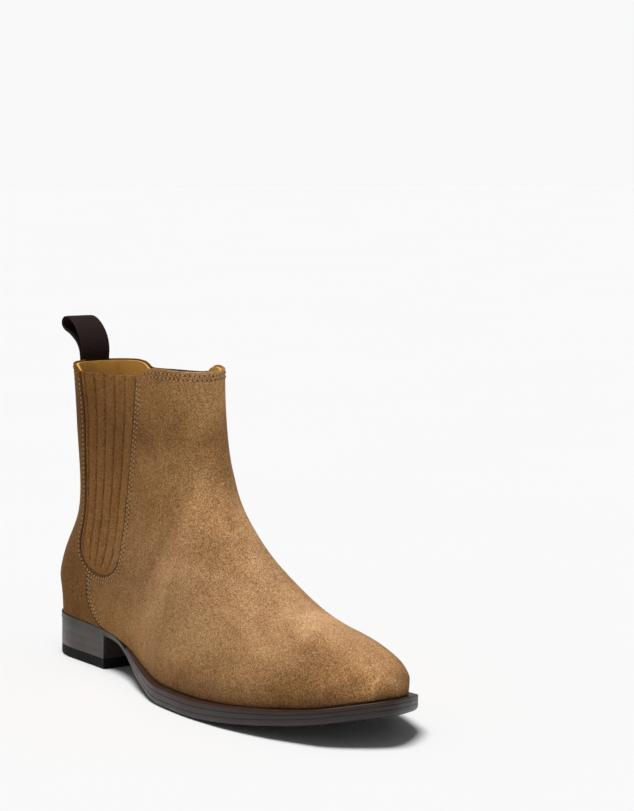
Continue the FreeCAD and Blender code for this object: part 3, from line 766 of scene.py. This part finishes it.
# Linings: the same patches, deeper in. Their top edge ends a little below the suede's.
LINING_START = SUEDE + 0.05
LINING = 1.9
LINING_EDGE = 0.5
LINING_DROP = 1.1
DROP_FADE = 3
for name, outer, nodes, join in (
        ("front_lining", vamp_outer, ("vamp_lining", "shaft_lining"), bend_at_ankle),
        ("back_lining", quarter_outer, ("quarter_lining",), ride_boot)):
    coarse = outer[::2, ::2] if outer.shape[0] % 2 and outer.shape[1] % 2 else outer
    face, back = skin(coarse, LINING_START, LINING, LINING_EDGE, ("top",))
    for layer in (face, back):
        below = np.clip(topline(layer[..., 0]) - layer[..., 2], 0, 60)
        layer[..., 2] -= LINING_DROP * np.exp(-below / DROP_FADE)
    obj = panel(name, face, back, lining_leather)
    join(obj)
    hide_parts(*nodes)

# ---------------------------------------------------------------- elastic side panels
TUCKS = (0.07, 0.25, 0.43, 0.62, 0.81)
TUCK_HALF = 0.010
tuck_lines = sorted(tuck + step * TUCK_HALF for tuck in TUCKS for step in (-2.2, -1, 0, 1, 2.2))
gusset_across = spaced(70, 0.02, 0.02, tuck_lines)
gusset_down = spaced(130, 0.008, 0.02)
gusset_grid = (along(gusset_left, gusset_down)[:, None] * (1 - gusset_across)[None, :, None]
               + along(gusset_right, gusset_down)[:, None] * gusset_across[None, :, None])
sag = along(gusset_top, gusset_across)[:, 1] - (
    gusset_top[0, 1] * (1 - gusset_across) + gusset_top[-1, 1] * gusset_across)
gusset_grid[..., 1] += sag[None, :] * (1 - ease(gusset_down / 0.15))[:, None]
COVER_DROP = 0.7
COVER = 1.35
WEB = 1.1
WEB_RIBS = 34
GROOVE = 1.0
PUFF = 0.45
SLOT = 0.7
SLOT_WIDTH = 1.3
gusset_faces = {}
for side in ("lateral", "medial"):
    lateral = side == "lateral"
    half = half_width(gusset_grid[..., 0], gusset_grid[..., 1], lateral)
    outer = np.stack([gusset_grid[..., 0], -half if lateral else half, gusset_grid[..., 1]], -1)
    n = normals_of(outer)
    n = n if (n[..., 1].mean() < 0) == lateral else -n
    groove = np.zeros(len(gusset_across))
    for tuck in TUCKS:
        groove = np.maximum(groove, np.exp(-((gusset_across - tuck) / TUCK_HALF) ** 2))
    places = np.concatenate([[0.0], TUCKS, [1.0]])
    cell = np.searchsorted(places, gusset_across, side="right") - 1
    cell = np.clip(cell, 0, len(places) - 2)
    inside = (gusset_across - places[cell]) / (places[cell + 1] - places[cell])
    puff = PUFF * np.sqrt(np.clip(4 * inside * (1 - inside), 0, 1))
    fade = 1 - ease((gusset_down - 0.80) / 0.12)
    drop = COVER_DROP + (GROOVE * groove - puff + 0.2)[None, :] * fade[:, None]
    drop = drop + 0.12 * np.sin(gusset_grid[..., 1] / 5.5)
    drop = drop + edge_round(outer, 0.5, ("top",))
    drop = drop + SLOT / SLOT_WIDTH * edge_round(outer, SLOT_WIDTH, ("left", "right"))
    face = outer - n * drop[..., None]
    back = outer - n * (COVER_DROP + COVER)
    cover = panel("gusset_suede_" + side, face, back, suede_cover_painted_shade)
    stretch_panel(cover)
    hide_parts("gusset_cover_" + side)
    gusset_faces[side] = (face, n)
    rib = 0.18 * np.sin(gusset_across * 2 * np.pi * WEB_RIBS)[None, :]
    web_start = COVER_DROP + COVER + 0.05
    web_face = outer - n * web_start
    web_back = outer - n * (web_start + WEB + rib)[..., None]
    web = panel("gusset_elastic_web_" + side, web_face, web_back, elastic_web)
    stretch_panel(web)
    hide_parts("gusset_elastic_" + side)


# ---------------------------------------------------------------- stitching
def on_surface(line, lateral, depth=0.0):
    """3-D points and outward normals of the upper's outside along a side-view line."""
    x, z = line.T
    reach = 0.4
    gap = nearest(ridge_line[::2], x, z)[0]
    inside = np.clip(1.2 - gap, 0, 1.2)
    xi = x - inside * 0.8
    zi = z - inside * 0.5

    def squared(a, b):
        return half_width(a, b, lateral) ** 2

    grad_x = (squared(xi + reach, zi) - squared(xi - reach, zi)) / (2 * reach)
    grad_z = (squared(xi, zi + reach) - squared(xi, zi - reach)) / (2 * reach)
    half = half_width(x, z, lateral)
    n = unit(np.stack([-grad_x, 2 * half, -grad_z], -1))
    points = np.stack([x, half, z], -1)
    if lateral:
        n[:, 1] *= -1
        points[:, 1] *= -1
    return points - n * depth, n


def beside(line, distance):
    """Side-view line moved to the right of its direction, without loops at tight bends."""
    d = unit(np.gradient(line, axis=0))
    moved = line + np.stack([d[:, 1], -d[:, 0]], -1) * distance
    return even(moved, len(line))


def part_of(line, first, last):
    """The same line between two distances in millimetres from its start."""
    run = run_of(line)
    last = run[-1] + last if last <= 0 else last
    return even(line[(run >= first) & (run <= last)], 300)


def stitch_row(path, ups, pitch=2.7):
    """Centres, directions and normals of even stitches along a path."""
    run = run_of(path)
    count = max(int(run[-1] / pitch), 2)
    s = (np.arange(count) + 0.5) * run[-1] / count
    ahead = sample(s + 0.3, run, path) - sample(s - 0.3, run, path)
    return sample(s, run, path), unit(ahead), unit(sample(s, run, ups))


def band(start, step, sides):
    """Faces of one band of a tube between two rings of points."""
    turned = [(k + 1) % sides for k in range(sides)]
    return [[start + k, start + j, start + step + j, start + step + k] for k, j in enumerate(turned)]


def capsules(name, rows, mat, length, radius, lift):
    """One mesh of small rounded bars, each along its row and raised to the given height."""
    rings = 5
    sides = 6
    points = []
    faces = []
    for centre, ahead, up in rows:
        side = np.cross(up, ahead)
        for c, a, u, w in zip(centre, ahead, up, side):
            base = len(points)
            middle = c + u * lift
            for i in range(rings):
                f = -1 + 2 * i / (rings - 1)
                wide = radius * math.sqrt(max(1 - abs(f) ** 4, 0.04))
                sink = -0.45 * radius * f * f
                for k in range(sides):
                    angle = 2 * math.pi * k / sides
                    points.append(middle + a * f * length / 2 + w * math.cos(angle) * wide
                                  + u * (math.sin(angle) * wide + sink))
            for i in range(rings - 1):
                faces += band(base + i * sides, sides, sides)
            faces.append([base + k for k in range(sides)][::-1])
            faces.append([base + (rings - 1) * sides + k for k in range(sides)])
    return mesh_object(name, np.array(points), faces, mat)


def between(row):
    """The same row, moved on by half a stitch, for the needle holes."""
    centre, ahead, up = row
    return (centre[:-1] + centre[1:]) / 2, ahead[:-1], up[:-1]


HOLE_LENGTH = 1.15
HOLE_RADIUS = 0.46
HOLE_LIFT = -0.12


def sewn(name, rows, join, length=1.7, radius=0.27, lift=0.08):
    """Raised threads along the rows, with the needle holes between them as sunk bars painted near-black for
    the shade inside them.
    """
    gaps = [between(row) for row in rows]
    for obj in (capsules(name + "_thread", rows, thread, length, radius, lift),
                capsules(name + "_holes", gaps, hole, HOLE_LENGTH, HOLE_RADIUS, HOLE_LIFT)):
        join(obj)


def edge_shadow_cords(name, paths, join, radius):
    """Cords sunk into the surface along the suede's cut edges, painted near-black as the shadow line there.
    """
    sides = 6
    angles = np.arange(sides) * 2 * np.pi / sides
    points = []
    faces = []
    for path, ups in paths:
        side = np.cross(ups, unit(np.gradient(path, axis=0)))
        ring = (path[:, None] + radius * (side[:, None] * np.cos(angles)[None, :, None]
                                          + ups[:, None] * np.sin(angles)[None, :, None]))
        base = sum(len(p) for p in points)
        points.append(ring.reshape(-1, 3))
        for i in range(len(path) - 1):
            faces += band(base + i * sides, sides, sides)
        last = base + (len(path) - 1) * sides
        faces.append([base + k for k in range(sides)][::-1])
        faces.append([last + k for k in range(sides)])
    edge = mesh_object(name, np.concatenate(points), faces, edge_shadow_paint)
    join(edge)


def top_row(distance, start):
    """Round the front of the shaft, below the top edge, from the outer side to the inner."""
    x = np.linspace(start, vamp_top[-1, 0] + 8, 500)
    line = np.stack([x, topline(x) - distance], -1)
    ahead = np.interp(-line[:, 1], -vamp_ridge[:200, 1], vamp_ridge[:200, 0])
    line = line[x < ahead]
    points, ups = on_surface(line, True)
    other, other_ups = on_surface(line, False)
    return np.concatenate([points, other[::-1]]), np.concatenate([ups, other_ups[::-1]])


TOP_ROWS = ((2.4, 101.5), (4.9, 103.5))
VAMP_ROWS = (1.5, 3.9)
SEAM_ROWS = (1.2, 3.6)
QUARTER_ROW = 1.625
vamp_rows = [stitch_row(*top_row(distance, start)) for distance, start in TOP_ROWS]
quarter_rows = []
seam_rows = []
rear_edge = spline_line(GUSSET_BACK, 400)
for lateral in (True, False):
    for distance in VAMP_ROWS:
        line = part_of(beside(vamp_left, -distance), 3.5, 0.0)
        vamp_rows.append(stitch_row(*on_surface(line, lateral)))
    line = part_of(beside(rear_edge, QUARTER_ROW), 3.0, 0.0)
    quarter_rows.append(stitch_row(*on_surface(line, lateral)))
    for distance in SEAM_ROWS:
        line = part_of(beside(seam_line, -distance), 1.0, -2.0)
        seam_rows.append(stitch_row(*on_surface(line, lateral), 2.5))
x = np.linspace(vamp_top[0, 0] - 64, quarter_top[0, 0] + 1.5, 200)[::-1]
line = np.stack([x, topline(x) - 2.2], -1)
outside, outside_ups = on_surface(line[::-1], True)
inside, inside_ups = on_surface(line, False)
quarter_rows.append(stitch_row(np.concatenate([outside, inside]),
                               np.concatenate([outside_ups, inside_ups])))


# Painted shadow lines: dark cords just under the surface along the vamp's edge, the quarter's rear edge and
# the side seam.
EDGE_DEPTH = 0.3
for name, line, first, last, join, radius in (
        ("vamp_cut_edge", vamp_left, 1.5, -0.5, bend_at_ankle, 0.5),
        ("quarter_cut_edge", rear_edge, 1.5, -0.5, ride_boot, 0.4),
        ("side_seam_shadow_line", seam_line, 0.5, -2.0, ride_boot, 0.4)):
    run = part_of(line, first, last)
    edge_shadow_cords(name, [on_surface(run, lateral, EDGE_DEPTH) for lateral in (True, False)], join, radius)
sewn("vamp_stitch", vamp_rows, bend_at_ankle)
sewn("quarter_stitch", quarter_rows, ride_boot)
sewn("side_seam_stitch", seam_rows, ride_boot)

SEWN_DOWN = 0.84
for side, (face, n) in gusset_faces.items():
    rows = []
    for tuck in TUCKS:
        i = int(np.argmin(np.abs(gusset_across - tuck)))
        last = int(len(face) * SEWN_DOWN)
        rows.append(stitch_row(face[2:last, i], n[2:last, i], 2.4))
    sewn("tuck_stitch_" + side, rows, stretch_panel, length=1.45, radius=0.25, lift=0.18)


# ---------------------------------------------------------------- pull tab
tab_low, tab_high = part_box("pull_tab_loop")
tab_half = (tab_high.y - tab_low.y) / 2 / MM
tab_middle = (tab_low.y + tab_high.y) / 2 / MM
TAB_RUN = [(13.5, 164), (13.3, 171), (12.9, 176.5), (11.9, 180.4), (9.4, 184.4), (5, 187.9),
           (-1.2, 191.0), (-6.6, 193.2), (-8.9, 196.4), (-7.2, 199.5), (-2.4, 200.0), (4.3, 197.1),
           (10.4, 191.0), (13.6, 184.8), (14.5, 180.4), (14.4, 176.5), (14.4, 171), (14.6, 164)]
tab_line = spline_line(TAB_RUN, 150)
TAB_THICK = 0.9
tangent = unit(np.gradient(tab_line, axis=0))
tab_normal = np.stack([tangent[:, 1], -tangent[:, 0]], -1)
section = []
CORNERS = 24
for corner in range(CORNERS):
    angle = 2 * math.pi * corner / CORNERS
    wide = math.copysign(abs(math.cos(angle)) ** 0.25, math.cos(angle)) * (tab_half - 0.3)
    deep = math.copysign(abs(math.sin(angle)) ** 0.7, math.sin(angle)) * TAB_THICK / 2
    section.append((wide, deep))
loops = []
for k, ((x, z), (nx, nz)) in enumerate(zip(tab_line, tab_normal)):
    sway = 0.25 * math.sin(k * 0.13)
    loops.append([(x + nx * deep, tab_middle + wide + sway * (1 if wide > 0 else -0.6), z + nz * deep)
                  for wide, deep in section])
loops = np.array(loops)
tab_faces = []
for k in range(len(loops) - 1):
    tab_faces += band(k * CORNERS, CORNERS, CORNERS)
tab_faces.append(list(range(CORNERS))[::-1])
tab_faces.append(list(range((len(loops) - 1) * CORNERS, len(loops) * CORNERS)))
tab = mesh_object("ribbon_tab", loops.reshape(-1, 3), tab_faces, ribbon)
fix_normals(tab)
tab_joint = next(j for j in frame["joints"] if j["name"] == "pull_tab_tilt")
tab_axis = Vector(tab_joint["pos_m"])
TAB_BEND = Vector((0, 0, 0.004))
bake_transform(tab, BOOT, TAB, start=tab_axis - TAB_BEND, end=tab_axis + TAB_BEND)
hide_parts("pull_tab_loop", "pull_tab_ends")


# ---------------------------------------------------------------- sole and heel
OUTSOLE = 3.8
WELT_START = 98.0
HEEL_BREAST = 67.0
HEEL_TRIM = 0.7
SOLE_TIP_ROUND = 24


def plan_line(start, end, inset, count, ahead_only=False):
    """Lateral and medial edge points of the sole between two x, moved in by the inset."""
    turn = np.linspace(0, np.pi / 2, count)
    if start > SOLE_BACK:
        x = start + (end - start) * np.sin(turn)
    elif end < SOLE_FRONT:
        x = start + (end - start) * (1 - np.cos(turn))
    else:
        x = start + (end - start) * (1 - np.cos(turn * 2)) / 2
    ends = (round_off((x - SOLE_BACK) / HEEL_ROUND, 2.5)
            * round_off((SOLE_FRONT - x) / SOLE_TIP_ROUND, 2, 1.9))
    if ahead_only:
        inset = inset * ease((x - HEEL_BREAST - 2) / 20)
    inset = np.reshape(inset + HEEL_TRIM * (1 - ease((x - 75) / 30)), (count, 1))
    sides = []
    for half, sign in ((outer_sole, -1), (inner_sole, 1)):
        y = sign * half(x) * ends
        p = np.stack([x, y], -1)
        d = np.gradient(p, axis=0)
        if start <= SOLE_BACK:
            d[0] = (0, sign)
        if end >= SOLE_FRONT:
            d[-1] = (0, -sign)
        d = unit(d)
        n = np.stack([-d[:, 1], d[:, 0]], -1) * (1 if sign < 0 else -1)
        moved = p + n * inset
        if start > SOLE_BACK:
            moved[0, 0] = start + inset[0, 0]
        if end < SOLE_FRONT:
            moved[-1, 0] = end - inset[-1, 0]
        sides.append(moved)
    return sides


def slab(name, low, high, start, end, insets, mat, nodes, count=220, across=24):
    """Sole layer between two heights over x, through insets of (from top or low, mm, inset)."""
    loops = []
    for kind, value, inset in insets:
        over_heel = kind == "low" and start < HEEL_BREAST < end
        lateral, medial = plan_line(start, end, inset, count, over_heel)
        rows = []
        for a, b in zip(lateral, medial):
            t = np.linspace(0, 1, across + 1)[:, None]
            rows.append(a * (1 - t) + b * t)
        plan = np.array(rows)
        top = high(plan[..., 0])
        bottom = low(plan[..., 0])
        z = top - value if kind == "top" else bottom + value
        loops.append(np.concatenate([plan, z[..., None]], -1))
    ring = ([(i, 0) for i in range(count)] + [(count - 1, k) for k in range(1, across)]
            + [(i, across) for i in range(count - 1, -1, -1)]
            + [(0, k) for k in range(across - 1, 0, -1)])
    points = [loops[0].reshape(-1, 3), loops[-1].reshape(-1, 3)]
    size = count * (across + 1)
    faces = grid_faces(count, across + 1) + grid_faces(count, across + 1, size, True)
    rings = []
    for number, loop in enumerate(loops):
        if number in (0, len(loops) - 1):
            base = 0 if number == 0 else size
            rings.append([base + i * (across + 1) + k for i, k in ring])
        else:
            base = sum(len(p) for p in points)
            points.append(np.array([loop[i, k] for i, k in ring]))
            rings.append(list(range(base, base + len(ring))))
    for a, b in zip(rings[:-1], rings[1:]):
        for k in range(len(ring)):
            j = (k + 1) % len(ring)
            faces.append([a[k], a[j], b[j], b[k]])
    obj = mesh_object(name, np.concatenate(points), faces, mat)
    fix_normals(obj)
    ride_boot(obj)
    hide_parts(*nodes)


def outsole_top(x):
    return np.minimum(sole_bottom(x) + OUTSOLE, sole_top(x))


def midsole_top(x):
    return outsole_top(x) + (sole_top(x) - outsole_top(x)) * 0.52


def soft_edge(radius, low_radius=None):
    """Steps of a rounded upper and lower edge, from the top down."""
    low_radius = radius if low_radius is None else low_radius
    steps = []
    for k in range(5):
        a = math.pi / 2 * k / 4
        steps.append(("top", radius * (1 - math.cos(a)), radius * (1 - math.sin(a))))
    for k in range(4, -1, -1):
        a = math.pi / 2 * k / 4
        steps.append(("low", low_radius * (1 - math.cos(a)), low_radius * (1 - math.sin(a))))
    return steps


slab("outsole_layer", sole_bottom, outsole_top, SOLE_BACK, SOLE_FRONT, soft_edge(0.2, 2.4), sole_edge,
     ("outsole",))
slab("midsole_layer", outsole_top, midsole_top, WELT_START, SOLE_FRONT, soft_edge(0.3), sole_edge,
     ("midsole",))
slab("welt_layer", midsole_top, sole_top, WELT_START, SOLE_FRONT, soft_edge(0.7, 0.3), welt_edge,
     ("welt",))


def level(height):
    """A flat height over x."""
    return lambda x: np.full(np.shape(x), float(height))


HEEL_INSET = 0.25
heel_nodes = ["heel_top_piece", "heel_lift_lower", "heel_lift_middle", "heel_lift_upper"]
for name in heel_nodes:
    low_corner, high_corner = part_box(name)
    bottom = low_corner.z / MM
    top = high_corner.z / MM
    ceiling = sole_bottom if name == "heel_lift_upper" else level(top)
    is_rubber = name == "heel_top_piece"
    edge = [(kind, value, inset + HEEL_INSET) for kind, value, inset in
            (soft_edge(0.08, 0.9) if is_rubber else soft_edge(0.05))]
    slab(name + "_layer", level(bottom), ceiling, SOLE_BACK, HEEL_BREAST, edge,
         heel_rubber if is_rubber else heel_stack, (name,),
         count=120)

# Materials for the CAD solids that stay: the inner pieces, the sock and the steel parts.
steel, steel_tree, steel_shader = material("steel", (0.55, 0.55, 0.56), 0.35)
settings(steel_shader, Metallic=1.0)
brushed = noise(steel_tree, coordinates(steel_tree, (1, 30, 30)), 200, 3)
steel_tree.links.new(ramp(steel_tree, brushed, [(0.3, grey(0.28)), (0.7, grey(0.45))]),
                     steel_shader.inputs["Roughness"])
carried = {"sock_liner": sock_leather, "steel_shank": steel, "heel_nails": steel}
for name, obj in frame["nodes"].items():
    for slot_entry in obj.material_slots:
        slot_entry.material = carried.get(name, board)

# ---------------------------------------------------------------- floor, light and camera
FLOOR_WHITE = 0.93
floor_mat, floor_tree, floor_shader = material("floor", grey(FLOOR_WHITE), 0.9)
floor_noise = noise(floor_tree, coordinates(floor_tree), 3, 2)
floor_tones = [(0.3, grey(FLOOR_WHITE)), (0.7, grey(FLOOR_WHITE + 0.005))]
colour_of(floor_tree, floor_shader, ramp(floor_tree, floor_noise, floor_tones))
settings(floor_shader, Specular_IOR_Level=0.0)
FLOOR_HALF = 12.0
FLOOR_DROP = 0.0002
floor_corners = [(x * FLOOR_HALF, y * FLOOR_HALF, 0) for x, y in ((-1, -1), (1, -1), (1, 1), (-1, 1))]
floor_mesh = bpy.data.meshes.new("floor")
floor_mesh.from_pydata(floor_corners, [], [(0, 1, 2, 3)])
floor_mesh.materials.append(floor_mat)
floor = placed("floor", floor_mesh)
floor.location.z = -FLOOR_DROP

# White walls down to the horizon, a dimmer ceiling, and one broad soft light from above.
WALL = 0.945
CEILING = 0.14
WALL_TOP = 0.07
CEILING_START = 0.11
world = bpy.data.worlds.new("studio")
world.use_nodes = True
sky = world.node_tree
sky_place = sky.nodes.new("ShaderNodeTexCoord")
sky_parts = sky.nodes.new("ShaderNodeSeparateXYZ")
sky.links.new(sky_place.outputs["Generated"], sky_parts.inputs["Vector"])
sky_tone = ramp(sky, sky_parts.outputs["Z"], [(WALL_TOP, grey(WALL)), (CEILING_START, grey(CEILING)),
                                              (1.0, grey(CEILING))])
sky.links.new(sky_tone, sky.nodes["Background"].inputs["Color"])
sky.nodes["Background"].inputs["Strength"].default_value = 1.0
bpy.context.scene.world = world
bpy.context.scene.view_settings.view_transform = "Standard"


SUN_WAY = Vector((-0.05, -0.15, 0.98))
SUN_POWER = 2.78
SUN_SPREAD = math.radians(27)
sun_data = bpy.data.lights.new("key", "SUN")
sun_data.energy = SUN_POWER
sun_data.angle = SUN_SPREAD
sun = placed("key", sun_data)
sun.rotation_euler = SUN_WAY.to_track_quat("Z", "Y").to_euler()

camera_data = bpy.data.cameras.new("camera")
camera = placed("camera", camera_data)
CAMERA_PLACE = Vector((1.2289, -0.747, 0.3073))
AZIMUTH = math.radians(53.60)
PITCH = math.radians(5.77)
ROLL = math.radians(0.71)
LENS = 107.77805
SENSOR = 36.0
SHIFT = (-0.0163995, -0.0241677)
level_reach = math.cos(PITCH)
back_way = Vector((math.sin(AZIMUTH) * level_reach, -math.cos(AZIMUTH) * level_reach, math.sin(PITCH)))
right_way = Vector((math.cos(AZIMUTH), math.sin(AZIMUTH), 0))
up_way = back_way.cross(right_way)
turned = Matrix((right_way, up_way, back_way)).transposed() @ Matrix.Rotation(ROLL, 3, "Z")
camera.matrix_world = Matrix.Translation(CAMERA_PLACE) @ turned.to_4x4()
camera_data.sensor_width = SENSOR
camera_data.lens = LENS
camera_data.shift_x = SHIFT[0]
camera_data.shift_y = SHIFT[1]
camera_data.clip_start = 0.01
camera_data.clip_end = 100
bpy.context.scene.camera = camera
